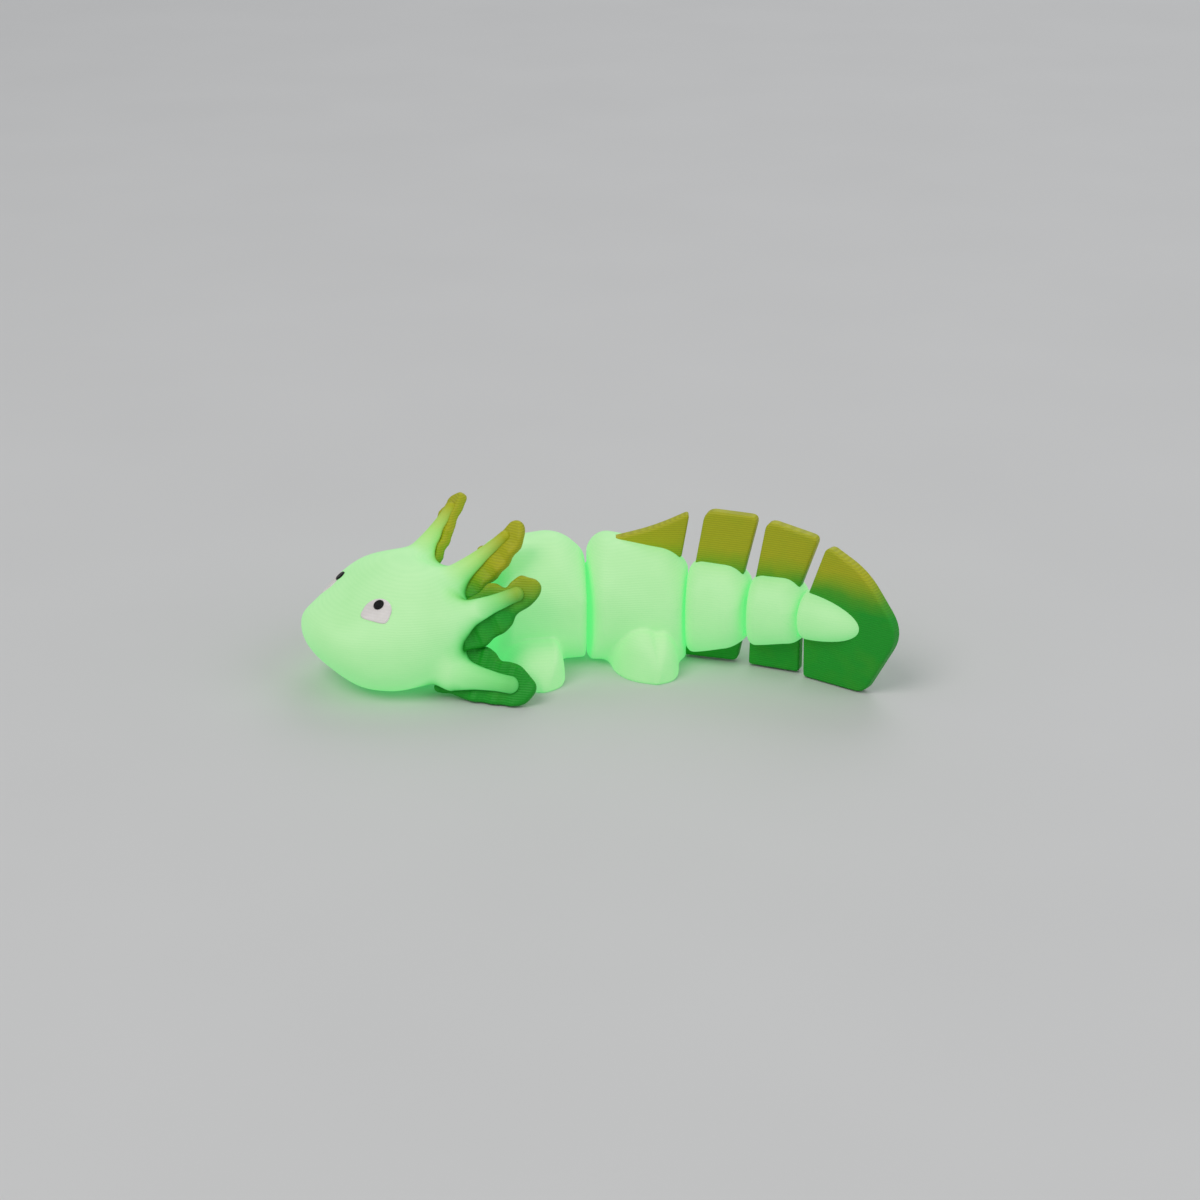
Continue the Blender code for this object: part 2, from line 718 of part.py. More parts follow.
def make_tail_base(frame):
    link = TAIL_LINKS[0]
    tail = finish_mesh("tail_base", skin_rings(link_rings(link)), frame, glow_body())
    add_pocket(tail, TAIL_HINGES[1], link.end() - TAIL_HINGES[1].set_back, frame)
    add_knuckle(tail, TAIL_HINGES[0], 0.0, frame)
    room = helper("tail_base_room", skin_rings(link_rings(link, GAP)), frame)
    make_fin("fin_upper_base", link.start, room, frame)
    make_fin("fin_lower_base", link.start, room, frame)


def make_tail_middle(frame):
    link = TAIL_LINKS[1]
    tail = finish_mesh("tail_middle", skin_rings(link_rings(link)), frame, glow_body())
    add_pocket(tail, TAIL_HINGES[2], link.end() - TAIL_HINGES[2].set_back, frame)
    add_knuckle(tail, TAIL_HINGES[1], 0.0, frame)
    room = helper("tail_middle_room", skin_rings(link_rings(link, GAP)), frame)
    make_fin("fin_upper_middle", link.start, room, frame)
    make_fin("fin_lower_middle", link.start, room, frame)


def make_tail_tip(frame):
    tip = finish_mesh("tail_tip", skin_rings(tip_rings()), frame, glow_body())
    add_knuckle(tip, TAIL_HINGES[2], 0.0, frame)
    room = helper("tail_tip_room", skin_rings(tip_rings(GAP)), frame)
    make_fin("fin_tip", TIP_START, room, frame)


def build():
    clear_scene()
    hips = hinge_frame("hips_frame", None, 0.0, 0.0)
    waist = hinge_frame("waist_hinge", hips, HIPS.start - WAIST.knuckle_at(), WAIST_TURN)
    neck = hinge_frame("neck_hinge", waist, CHEST.start - NECK.knuckle_at(), NECK_TURN)
    ends = [HIPS.end()] + [link.end() for link in TAIL_LINKS]
    frames = []
    parent = hips
    for i, (hinge, end, turn) in enumerate(zip(TAIL_HINGES, ends, TAIL_TURNS)):
        parent = hinge_frame(f"tail_hinge_{i + 1}", parent, end - hinge.set_back, -turn)
        frames.append(parent)
    make_head(neck)
    make_chest(waist)
    make_hips(hips)
    make_tail_base(frames[0])
    make_tail_middle(frames[1])
    make_tail_tip(frames[2])


build()
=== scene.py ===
"""The looks of the small printed axolotl toy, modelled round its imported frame.

Every visible piece is a smooth solid described by a distance field: a function that
is negative inside the shape and positive outside it. Each field is written in the
frame of the link that it belongs to: X toward the tail, Y toward the animal's right,
Z up, in millimetres, with the origin at floor level under the hinge that carries the
link, or under the middle of the hips, which nothing carries.
"""

import json
import math

import bpy
import numpy as np
from mathutils import Matrix, Vector


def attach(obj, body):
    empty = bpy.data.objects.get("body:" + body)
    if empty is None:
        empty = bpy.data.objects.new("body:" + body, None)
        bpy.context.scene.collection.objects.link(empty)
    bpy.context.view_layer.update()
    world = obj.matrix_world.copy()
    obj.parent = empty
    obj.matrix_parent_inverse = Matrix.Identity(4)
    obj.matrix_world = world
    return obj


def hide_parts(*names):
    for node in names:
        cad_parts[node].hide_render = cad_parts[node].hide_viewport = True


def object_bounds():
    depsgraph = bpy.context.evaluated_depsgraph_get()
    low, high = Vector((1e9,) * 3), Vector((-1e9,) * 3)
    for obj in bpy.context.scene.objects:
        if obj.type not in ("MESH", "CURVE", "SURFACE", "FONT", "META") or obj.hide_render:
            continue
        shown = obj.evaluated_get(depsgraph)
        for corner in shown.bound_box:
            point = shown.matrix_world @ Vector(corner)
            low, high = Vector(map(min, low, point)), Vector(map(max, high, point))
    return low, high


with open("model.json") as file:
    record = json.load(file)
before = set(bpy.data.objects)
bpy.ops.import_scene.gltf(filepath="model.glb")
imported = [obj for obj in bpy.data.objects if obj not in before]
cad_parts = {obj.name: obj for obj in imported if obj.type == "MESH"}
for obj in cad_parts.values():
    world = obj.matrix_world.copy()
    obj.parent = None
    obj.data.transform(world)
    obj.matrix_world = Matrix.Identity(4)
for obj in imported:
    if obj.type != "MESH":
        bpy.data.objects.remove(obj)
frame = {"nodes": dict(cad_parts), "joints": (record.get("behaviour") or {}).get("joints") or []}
CAD_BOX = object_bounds()

MM = 0.001
SIDES = ((-1, "left"), (1, "right"))

DETAIL = 1.0
SKIN_STEP = 0.15 * DETAIL
TRIM_STEP = 0.12 * DETAIL      # fins, frills and the whites of the eyes
PUPIL_STEP = TRIM_STEP / 2
BLOCK = 4                      # grid cells along a block that is skipped when far from the surface
BLOCK_REACH = 1.6              # how far that is, in blocks
MARGIN = 0.9                   # how far a piece's grid reaches past its CAD nodes
PROBE = 0.01                   # step for measuring a field's slope
LEAST_STEEP = 0.1              # least squared slope that a point is moved by
SETTLE_STEPS = 2               # moves that bring a mesh onto its surface,
EYE_SETTLE_STEPS = 4           # and an eye's centre onto the head
LOOP_STEPS = 6                 # points for each given point of a smooth loop
CORNER_STEPS = 8               # points round each rounded corner
TINY = 1e-9

# Turns of the two end links from the link they hang on, in degrees.
NECK_TURN = 16.0
TIP_TURN = -14.0

# Links and hinges.
LINK_GAP = 0.3                 # between two links' faces, when straight
TRUNK_LIMIT = math.radians(22)
TAIL_LIMIT = math.radians(19)
CLEARANCE = 0.35               # between knuckle and pocket
NECK_ROOT = 2.0                # how far a knuckle's neck is buried in its own link
WEDGE_FLAT = 0.8               # half width of an end face's unsloped middle
LINK_POWER = 2.15              # squareness of a section: 2 is an ellipse
HEAD_POWER = 2.3
FLOOR_EDGE = 0.35              # rounding where a shape meets the floor
HINGE_EDGE = 0.25              # rounding of a pocket's or knuckle's edges
ROOT_EDGE = 0.25               # rounding of a fin's or frill's root, inside the body
NECK_BLEND = 0.6               # fillet where a knuckle's neck leaves its link


class Hinge:
    """Sizes of one hinge: how deep it sits, and its knuckle's radius, neck width and height."""

    def __init__(self, set_back, radius, neck, bottom, top, limit):
        self.set_back = set_back
        self.radius = radius
        self.neck = neck
        self.bottom = bottom
        self.top = top
        self.limit = limit


NECK_HINGE = Hinge(3.3, 2.7, 1.7, 3.4, 9.4, TRUNK_LIMIT)
WAIST_HINGE = Hinge(3.3, 2.7, 1.7, 3.4, 11.0, TRUNK_LIMIT)
TAIL_HINGES = (
    Hinge(3.1, 2.2, 1.5, 3.6, 8.8, TAIL_LIMIT),
    Hinge(2.5, 1.7, 1.3, 4.4, 8.2, TAIL_LIMIT),
    Hinge(2.3, 1.4, 1.2, 5.4, 8.8, TAIL_LIMIT),
)


class Link:
    """A barrel link: its ends, with their sections (half width, bottom, top) and roundings."""

    def __init__(self, start, end, front, rear, round_front, round_rear, limit):
        self.start = start
        self.end = end
        self.front = front
        self.rear = rear
        self.round_front = round_front     # at the belly, the sides and the top
        self.round_rear = round_rear
        self.slope = math.tan(limit / 2)


HIPS = Link(-5.6, 6.3, (7.0, -0.2, 15.0), (6.3, -0.1, 13.2),
            (0.4, 1.1, 2.3), (0.4, 1.3, 3.3), TRUNK_LIMIT)
CHEST = Link(-8.8, 3.3, (6.6, -0.1, 14.6), (7.2, -0.2, 15.1),
             (0.4, 1.3, 2.2), (0.4, 1.1, 4.2), TRUNK_LIMIT)
TAIL_BASE = Link(3.4, 10.7, (4.9, 0.9, 12.4), (4.5, 2.2, 12.2),
                 (1.0, 1.3, 1.8), (2.4, 1.6, 2.8), TAIL_LIMIT)
TAIL_MIDDLE = Link(2.8, 9.4, (4.0, 2.8, 11.6), (3.6, 3.8, 11.8),
                   (1.0, 1.2, 1.6), (1.5, 1.5, 2.6), TAIL_LIMIT)
ROUND_LEVELS = (0.05, 0.3, 0.6, 0.9)   # of a link's height: belly, side, side, top

# Head: at each x the half width, middle height and half height of a blunt tube,
# which a long dome then closes toward the snout.
HEAD_REAR = 3.3
HEAD_ROUND = 2.2
DOME_START = -4.0
SNOUT = -18.1
HEAD_STATIONS = (
    (3.2, 6.0, 6.1, 4.8),
    (0.0, 7.0, 6.3, 5.3),
    (-2.0, 8.5, 6.5, 6.0),
    (-4.0, 9.8, 6.8, 6.85),
    (-7.5, 10.65, 6.85, 7.3),
    (-10.8, 10.8, 6.3, 7.35),
    (-13.6, 10.65, 5.9, 6.9),
    (-16.0, 11.2, 6.4, 6.5),
    (-18.1, 13.0, 7.2, 7.0),
)

# Tail tip: a cone whose axis keeps one height.
TIP_START = 2.6
TIP_LENGTH = 7.9
TIP_RADIUS = 3.0
TIP_HEIGHT = 7.8
TIP_POWER = 1.8                # how late the cone narrows
TIP_ROUND = 0.8


class Leg:
    """A paddle leg: where it leaves its link, front to rear, and how far out it reaches."""

    def __init__(self, front, rear, reach, front_slant, rear_slant, heel_at, toe_drop, crease):
        self.front = front
        self.rear = rear
        self.reach = reach
        self.front_slant = front_slant     # how much further each side draws in at the foot
        self.rear_slant = rear_slant
        self.heel_at = heel_at             # where the heel lobe starts, from -1 (front) to 1 (rear)
        self.toe_drop = toe_drop           # how much lower than the heel lobe the rest is
        self.crease = crease               # depth of the heel's crease at the top of the leg


FRONT_LEG = Leg(-8.0, -0.6, 11.5, 0.0, 0.9, 0.55, 1.2, 0.1)
REAR_LEG = Leg(-2.8, 5.2, 9.9, 1.4, 0.3, 0.26, 0.0, 0.7)
# Share of the reach, trim at the front, trim at the rear, height.
LEG_STATIONS = (
    (0.0, 0.0, 0.0, 6.2),
    (0.35, 0.0, 0.0, 6.1),
    (0.62, 0.3, 0.0, 5.8),
    (0.76, 0.8, 0.1, 5.3),
    (0.88, 1.6, 0.5, 4.4),
    (1.0, 2.9, 1.3, 3.2),
)
LEG_POWER = 2.6
LEG_SLANT_POWER = 4            # how late along the leg its sides draw in
LEG_ROUND = 1.5                # rounding of a foot's outer edge
LEG_BLEND = (1.4, 0.35)        # fillet between leg and body, at the floor and higher up
LEG_BLEND_TOP = 4.5            # height from which the fillet is the second one
HEEL_WIDTH = 0.2               # of the crease or step where the heel lobe starts
HEEL_FADE = 0.55               # share of the leg's height at which the crease has faded out

# Fins: corners as distance behind the link's front end, height and rounding.
FIN_PLATE = 1.5
FIN_RIM = 0.3
FIN_ROOT = 0.5                 # how deep a fin's or frill's root is buried in the body
FINS = {
    "fin_hips": ((3.3, 14.6, 0), (7.8, 15.75, 2.5), (12.0, 17.7, 0.7), (11.1, 12.2, 0.4),
                 (4.5, 11.0, 0)),
    "fin_upper_base": ((0.4, 9.5, 0), (1.9, 18.6, 1.3), (8.2, 18.4, 1.0), (6.2, 9.5, 0)),
    "fin_lower_base": ((0.6, 3.0, 0), (-0.6, 0.3, 0.3), (6.0, 0.3, 0.6), (6.9, 4.9, 0)),
    "fin_upper_middle": ((0.3, 9.5, 0), (1.8, 18.3, 1.2), (8.1, 17.0, 0.9), (5.6, 9.5, 0)),
    "fin_lower_middle": ((0.1, 4.5, 0), (0.0, 0.2, 0.4), (6.2, 0.2, 0.5), (6.2, 5.0, 0)),
    "fin_tip": ((0.1, 7.8, 0), (0.3, 9.5, 0), (2.9, 16.8, 1.0), (7.9, 14.6, 2.4),
                (12.9, 8.3, 2.8), (8.4, 0.0, 1.4), (0.3, 0.0, 0.5)),
}

# Gills: tapered stems that grow out of the head, each with a ruffled frill behind it.
STEM_BLEND = 2.0               # fillet where a stem leaves the head
STEM_FLARE = 2.0               # how quickly a stem widens toward its root
FADE_AND_SHADE_REACH = 0.8               # distance from a stem at which its turn to the frills' colour and painted shade has died out in the head
ROOT_SHARES = (0.15, 0.5)      # at these shares of a stem, a frill's colour and painted shade spread this far into the skin round it
ROOT_REACH = (2.4, 1.3)        # this far into the skin round it
FRILL_PLATE = 1.2
FRILL_BACK = (0.85, 0.55)      # how far a frill's middle lies behind the gill's axis, root and tip
FRILL_RIM = 0.45
RUFFLE_DEPTH = 0.18            # how far a frill's free edge waves to and fro
RUFFLE_PITCH = 2.3
RUFFLE_REACH = 2.6             # distance from the gill's axis at which the wave is full
RIB_DEPTH = 0.02               # of the fine ribs across a frill
RIB_PITCH = 0.62


class Gill:
    """One gill, given for the right side, with its frill's edge as (along, across) points."""

    def __init__(self, name, base, tip, lean, ahead, stem, fade, edge):
        self.name = name
        self.base = base
        self.tip = tip
        self.lean = lean           # of the frill, in degrees from upright
        self.ahead = ahead         # how far the stem's root lies ahead of the gill's axis
        self.stem = stem           # (along, across, radius) at the stem's root and tip
        self.fade = fade           # share of the stem where its colour starts to turn to the frills' and to painted shade, and how far it turns
        self.edge = edge


GILLS = (
    Gill("upper", (-1.8, 4.4, 11.2), (4.2, 6.3, 17.4), -59.0, 0.5,
         ((-2.5, 1.0, 2.6), (8.3, 0.05, 0.65)), (0.25, 1.0), (
             (-1.5, 1.9), (1.5, 1.9), (4.3, 1.7), (5.3, 1.75), (6.15, 1.25), (7.4, 1.0), (8.9, 1.0),
             (10.1, 0.9), (10.7, 0.3), (10.6, -0.5), (9.9, -1.4), (8.8, -2.0), (7.1, -2.3),
             (5.1, -2.6), (3.2, -2.4), (1.9, -2.7), (0.4, -2.3), (-1.5, -1.2))),
    Gill("middle", (-4.4, 8.0, 9.2), (4.2, 11.8, 13.0), -27.0, 0.0,
         ((0.0, -0.3, 2.3), (8.1, -0.35, 0.85)), (0.4, 0.9), (
             (-1.0, 0.8), (2.5, 1.3), (4.3, 1.5), (5.5, 2.0), (6.4, 1.7), (7.2, 0.85), (8.1, 1.2),
             (9.3, 1.45), (10.1, 0.9), (10.8, 0.3), (11.0, -0.6), (10.4, -1.45), (9.1, -2.1),
             (7.3, -2.45), (6.3, -3.3), (5.2, -3.8), (3.9, -3.9), (2.6, -4.4), (1.0, -4.1),
             (-0.6, -3.4))),
    Gill("lower", (-4.4, 9.4, 3.4), (1.0, 15.4, 1.9), -33.0, 0.0,
         ((0.0, -0.3, 2.1), (6.6, 0.3, 1.0)), (0.0, 0.62), (
             (-1.2, 2.2), (0.5, 3.1), (2.3, 3.6), (3.5, 3.3), (4.5, 2.6), (5.8, 2.75), (7.1, 2.6),
             (8.4, 1.8), (9.3, 1.1), (9.4, 0.1), (8.7, -1.25), (7.5, -2.0), (5.5, -2.4),
             (2.5, -2.85), (0.3, -2.7), (-2.0, -2.6))),
)
# Two of the right gills bend a little differently from the left ones: tip, lean and ahead.
BENT_GILLS = {
    ("upper", 1): ((3.4, 6.1, 17.2), -80.0, 1.4),
    ("middle", 1): ((4.0, 11.4, 11.2), -27.0, 0.0),
}

# Eyes: an arched white inlay in a shallow recess, with a round pupil on it.
EYE_HALF_WIDTH = 1.82
EYE_WIDEST = -0.2              # height of the widest place over the eye's middle
EYE_ABOVE = 1.65               # reach over the widest place, and under it
EYE_BELOW = 1.3
EYE_ARCH = 2.0                 # squareness of the upper half, and of the lower
EYE_SQUARE = 4.5
EYE_PROUD = 0.08               # how far the white stands out of the skin
EYE_DEPTH = 0.9
EYE_RIM = 0.15                 # rounding of the edges of white, pupil and recess
EYE_SHIFTS = {                 # of the whites from their CAD nodes: the right one sits lower
    "left": (0.1, 0, 0),
    "right": (0.15, 0.8, -0.8),
}
RECESS_WIDTH = 0.08            # gap round the white
RECESS_DEPTH = 0.14
PUPIL_RADIUS = 0.64
PUPIL_PROUD = 0.24
PUPIL_DEPTH = 0.6

# Finish: sizes in millimetres, colours as linear RGB.
LAYER = 0.26                   # height of one printed layer
LAYER_RELIEF = 0.02
LAYER_WOBBLE = 0.6             # how unevenly the layers run,
LAYER_WOBBLE_SCALE = 0.3       # and in how long waves
WAVE_RATE = 20                 # radians that a wave texture turns in each unit, at a scale of 1
SKIN_GROOVE_SHADE = 0.04               # painted shade: how much darker the grooves between layers are
TRIM_GROOVE_SHADE = 0.16
SPECULAR = 0.3
PUPIL_SPECULAR = 0.15
GRAIN_SIZE = 0.5               # of the glowing filament's fine grain
GRAIN_SHARE = 0.5              # of that grain in the relief
MOTTLE = (0.3, 0.7)            # noise values where a mottled colour is at its first and second tone
GLOW_TONES = ((0.48, 0.33, 0.31), (0.54, 0.37, 0.36))
GLOW_COLOR = (0.10, 1.0, 0.23)
GLOW_STRENGTH = 0.54
# glow along the turn: dimmed where the skin takes the frills' colour and painted shade
GLOW_BY_FADE_AND_SHADE = ((0.0, GLOW_COLOR), (0.5, (0.04, 0.68, 0.13)), (1.0, (0.0, 0.02, 0.0)))
FADE_AND_SHADE_POWER = 0.7               # below 1, the base colour turns to the frills' colour and painted shade ahead of the glow
WHITE_TONES = ((0.74, 0.70, 0.67), (0.82, 0.78, 0.75))
BLACK_TONES = ((0.004, 0.004, 0.004), (0.012, 0.012, 0.011))
TURN_LOW = 9.8                 # the trim's colour turns from green to yellow between these heights
TURN_HIGH = 14.2
TURN_DRIFT = 0.35              # how unevenly, as a share of the way between them
TURN_DRIFT_SIZE = 3.0
TWO_TONE = (
    (0.0, (0.010, 0.36, 0.02)),
    (0.35, (0.08, 0.38, 0.015)),
    (0.7, (0.32, 0.45, 0.010)),
    (1.0, (0.46, 0.47, 0.010)),
)

# Studio.
CAMERA_DISTANCE = 300.0        # in millimetres, as the aim is
CAMERA_ELEVATION = math.radians(22)
CAMERA_LENS = 76.5
CAMERA_SENSOR = 36.0
CAMERA_CLIP = 0.01             # nearest distance seen, in metres
AIM_HEIGHT = 6.62
AIM_BACK = 0.32                # how far from the CAD box's middle toward the tail
FLOOR_REACH = 6.0              # half side of the floor, in metres
FLOOR_TONES = ((0.615, 0.615, 0.605), (0.63, 0.63, 0.62))
LIGHTS = (                     # name, place and width in metres, power, colour
    ("key", (-0.45, -0.55, 0.85), 0.6, 4.0, (1.0, 0.98, 0.95)),
    ("fill", (0.7, -0.35, 0.5), 0.8, 1.6, (0.95, 0.97, 1.0)),
    ("back", (0.2, 0.8, 0.7), 0.7, 1.6, (1.0, 1.0, 1.0)),
)
WORLD_COLOR = (0.93, 0.95, 1.0, 1.0)
WORLD_STRENGTH = 0.45


# ---- Distance fields ----------------------------------------------------------------


def smooth_union(a, b, blend):
    """Two shapes joined, with a fillet along the line where they meet."""
    near = np.maximum(blend - np.abs(a - b), 0) / blend
    return np.minimum(a, b) - near * near * blend / 4


def rounded_cut(a, b, radius):
    """What two shapes have in common, with its edge rounded."""
    outside = np.hypot(np.maximum(a + radius, 0), np.maximum(b + radius, 0))
    return np.minimum(np.maximum(a, b), -radius) + outside


def on_floor(shape, z):
    """A shape with all that is below the floor cut off."""
    return rounded_cut(shape, -z, FLOOR_EDGE)


def smooth_step(t):
    """A share from 0 to 1, eased at both ends."""
    return t * t * (3 - 2 * t)


def read_stations(stations, x):
    """Values of a table of stations at x, along a smooth curve that stays level past its ends."""
    table = np.array(sorted(stations), float)
    at, values = table[:, 0], table[:, 1:]
    slopes = np.gradient(values, at, axis=0)
    x = np.clip(x, at[0], at[-1])
    i = np.clip(np.searchsorted(at, x, side="right") - 1, 0, len(at) - 2)
    width = at[i + 1] - at[i]
    t = (x - at[i]) / width
    rise = smooth_step(t)
    return [
        v[i] * (1 - rise) + v[i + 1] * rise
        + width * t * (1 - t) * ((1 - t) * s[i] - t * s[i + 1])
        for v, s in zip(values.T, slopes.T)
    ]


def tube(across, up, half_width, half_height, power):
    """Distance to a rounded-square section."""
    gauge = (np.abs(across / half_width) ** power + np.abs(up / half_height) ** power) ** (1 / power)
    return np.hypot(across, up) * (1 - 1 / np.maximum(gauge, TINY))


def segment_share(p, a, b):
    """How far along the segment from a to b each point lies, from 0 to 1."""
    along = b - a
    return np.clip((p - a) @ along / (along @ along), 0, 1)


def flared_stem(p, a, b, radius_a, radius_b):
    """Distance to a round stem that widens toward a."""
    t = segment_share(p, a, b)
    middle = a + t[:, None] * (b - a)
    radius = radius_b + (radius_a - radius_b) * (1 - t) ** STEM_FLARE
    return np.linalg.norm(p - middle, axis=1) - radius


def outline_distance(u, v, outline):
    """Distance in a plane to a closed outline, negative inside it."""
    nearest = np.full(u.shape, np.inf)
    inside = np.zeros(u.shape, bool)
    for (au, av), (bu, bv) in zip(outline, np.roll(outline, -1, axis=0)):
        du, dv = bu - au, bv - av
        t = np.clip(((u - au) * du + (v - av) * dv) / (du * du + dv * dv), 0, 1)
        nearest = np.minimum(nearest, (u - au - t * du) ** 2 + (v - av - t * dv) ** 2)
        if dv:
            inside ^= ((av > v) != (bv > v)) & (u < au + du * (v - av) / dv)
    return np.sqrt(nearest) * np.where(inside, -1, 1)


def smooth_loop(points):
    """A closed smooth curve through points."""
    here = np.array(points, float)
    before, after, beyond = (np.roll(here, k, axis=0) for k in (1, -1, -2))
    rows = []
    for t in np.arange(LOOP_STEPS) / LOOP_STEPS:
        rows.append(here + 0.5 * t * (after - before)
                    + t * t * (before - 2.5 * here + 2 * after - 0.5 * beyond)
                    + t ** 3 * (1.5 * here - 0.5 * before - 1.5 * after + 0.5 * beyond))
    return np.stack(rows, axis=1).reshape(-1, 2)


def rounded_corners(corners):
    """An outline whose corners (u, v, radius) are turned into round bends."""
    outline = []
    for i, (u, v, radius) in enumerate(corners):
        here = np.array((u, v), float)
        if radius == 0:
            outline.append(here)
            continue
        ends = [np.array(corners[k % len(corners)][:2], float) - here for k in (i - 1, i + 1)]
        enter, leave = (here + e / np.linalg.norm(e) * radius for e in ends)
        for t in np.linspace(0, 1, CORNER_STEPS):
            outline.append((1 - t) ** 2 * enter + 2 * t * (1 - t) * here + t * t * leave)
    return np.array(outline)


# ---- Links --------------------------------------------------------------------------


def end_slope(y, slope):
    """How far an end face leans back from its middle line, so that the link can swing."""
    return slope * (np.hypot(y, WEDGE_FLAT) - WEDGE_FLAT)


def barrel(p, link):
    """The body of a link, without its hinges."""
    x, y, z = p.T
    t = smooth_step(np.clip((x - link.start) / (link.end - link.start), 0, 1))
    half_width, bottom, top = (a + (b - a) * t for a, b in zip(link.front, link.rear))
    shape = tube(y, z - (top + bottom) / 2, half_width, (top - bottom) / 2, LINK_POWER)
    lean = end_slope(y, link.slope)
    level = (z - bottom) / (top - bottom)
    front_round, rear_round = (np.interp(level, ROUND_LEVELS, (belly, side, side, upper))
                               for belly, side, upper in (link.round_front, link.round_rear))
    shape = rounded_cut(shape, link.start + lean - x, front_round)
    return rounded_cut(shape, x - link.end + lean, rear_round)


def upright(shape, z, bottom, top):
    """A plan shape given a floor and a ceiling, with rounded edges."""
    middle, half = (bottom + top) / 2, (top - bottom) / 2
    return rounded_cut(shape, np.abs(z - middle) - half, HINGE_EDGE)


def with_pocket(shape, p, hinge, at=0.0):
    """A link with the pocket for its neighbour's knuckle, whose mouth lets the neck swing."""
    x, y, z = p.T
    x = x - at
    post = np.hypot(x, y) - hinge.radius - CLEARANCE
    half = hinge.neck / 2 / math.cos(hinge.limit) + CLEARANCE
    mouth = (np.abs(y) - half - x * math.tan(hinge.limit)) * math.cos(hinge.limit)
    pocket = np.minimum(post, np.maximum(mouth, -x))
    pocket = upright(pocket, z, hinge.bottom - CLEARANCE, hinge.top + CLEARANCE)
    return rounded_cut(shape, -pocket, HINGE_EDGE)


def with_knuckle(shape, p, hinge, at):
    """A link with the knuckle and neck at its front."""
    x, y, z = p.T
    x = x - at
    post = np.hypot(x, y) - hinge.radius
    reach = hinge.set_back + LINK_GAP + NECK_ROOT
    neck = np.maximum(np.abs(y) - hinge.neck / 2, np.maximum(-x, x - reach))
    knuckle = upright(np.minimum(post, neck), z, hinge.bottom, hinge.top)
    return smooth_union(shape, knuckle, NECK_BLEND)


def knuckle_place(link, hinge):
    """Where a link's front knuckle turns."""
    return link.start - LINK_GAP - hinge.set_back


def leg_field(p, leg):
    """Both of a link's legs: a haunch with a heel lobe, running out to a flat sole."""
    x, y, z = p.T
    share = np.abs(y) / leg.reach
    front_trim, rear_trim, height = read_stations(LEG_STATIONS, share)
    front = leg.front + front_trim + leg.front_slant * share ** LEG_SLANT_POWER
    rear = leg.rear - rear_trim - leg.rear_slant * share ** LEG_SLANT_POWER
    middle, half = (front + rear) / 2, (rear - front) / 2
    past_heel = (leg.heel_at - (x - middle) / half) / HEEL_WIDTH
    height = height - leg.toe_drop * (1 + np.tanh(past_heel)) / 2
    shape = tube(x - middle, z, half, height, LEG_POWER)
    crease = leg.crease * np.exp(-past_heel ** 2)
    shape = shape + crease * np.clip((z / height - HEEL_FADE) / (1 - HEEL_FADE), 0, 1)
    return rounded_cut(shape, np.abs(y) - leg.reach, LEG_ROUND)


def trunk_field(p, link, leg):
    """The chest or the hips: a barrel with a pair of legs, a pocket and a knuckle."""
    blend = np.interp(p[:, 2], (0, LEG_BLEND_TOP), LEG_BLEND)
    shape = smooth_union(barrel(p, link), leg_field(p, leg), blend)
    return on_floor(shape, p[:, 2])


def chest_field(p):
    shape = with_pocket(trunk_field(p, CHEST, FRONT_LEG), p, WAIST_HINGE)
    return with_knuckle(shape, p, NECK_HINGE, knuckle_place(CHEST, NECK_HINGE))


def hips_field(p):
    tail_hinge = TAIL_HINGES[0]
    shape = trunk_field(p, HIPS, REAR_LEG)
    shape = with_pocket(shape, p, tail_hinge, HIPS.end - tail_hinge.set_back)
    return with_knuckle(shape, p, WAIST_HINGE, knuckle_place(HIPS, WAIST_HINGE))


def tail_link_field(p, link, own, following):
    """A tail link, carried by its own hinge, with a pocket for the following one."""
    shape = with_pocket(barrel(p, link), p, following, link.end - following.set_back)
    return with_knuckle(shape, p, own, 0.0)


def tail_base_field(p):
    return tail_link_field(p, TAIL_BASE, TAIL_HINGES[0], TAIL_HINGES[1])


def tail_middle_field(p):
    return tail_link_field(p, TAIL_MIDDLE, TAIL_HINGES[1], TAIL_HINGES[2])


def tip_field(p):
    """The tail tip's cone, which ends in a blunt point."""
    x, y, z = p.T
    t = np.maximum((x - TIP_START) / TIP_LENGTH, 0)
    reach = np.hypot(y, z - TIP_HEIGHT)
    gauge = np.sqrt((reach / TIP_RADIUS) ** 2 + t ** TIP_POWER)
    shape = (gauge - 1) * TIP_RADIUS
    lean = end_slope(y, math.tan(TAIL_LIMIT / 2))
    shape = rounded_cut(shape, TIP_START + lean - x, TIP_ROUND)
    return with_knuckle(shape, p, TAIL_HINGES[2], 0.0)


# ---- Head ---------------------------------------------------------------------------


def bare_head(p):
    """The head without gills, eyes or neck pocket."""
    x, y, z = p.T
    half_width, middle, half_height = read_stations(HEAD_STATIONS, x)
    up = z - middle
    ahead = np.maximum(DOME_START - x, 0)
    across = (np.abs(y / half_width) ** HEAD_POWER + np.abs(up / half_height) ** HEAD_POWER)
    gauge = np.hypot(across ** (1 / HEAD_POWER), ahead / (DOME_START - SNOUT))
    reach = np.sqrt(ahead ** 2 + y ** 2 + up ** 2)
    shape = reach * (1 - 1 / np.maximum(gauge, TINY))
    shape = rounded_cut(shape, x - HEAD_REAR + end_slope(y, math.tan(TRUNK_LIMIT / 2)), HEAD_ROUND)
    return on_floor(shape, z)


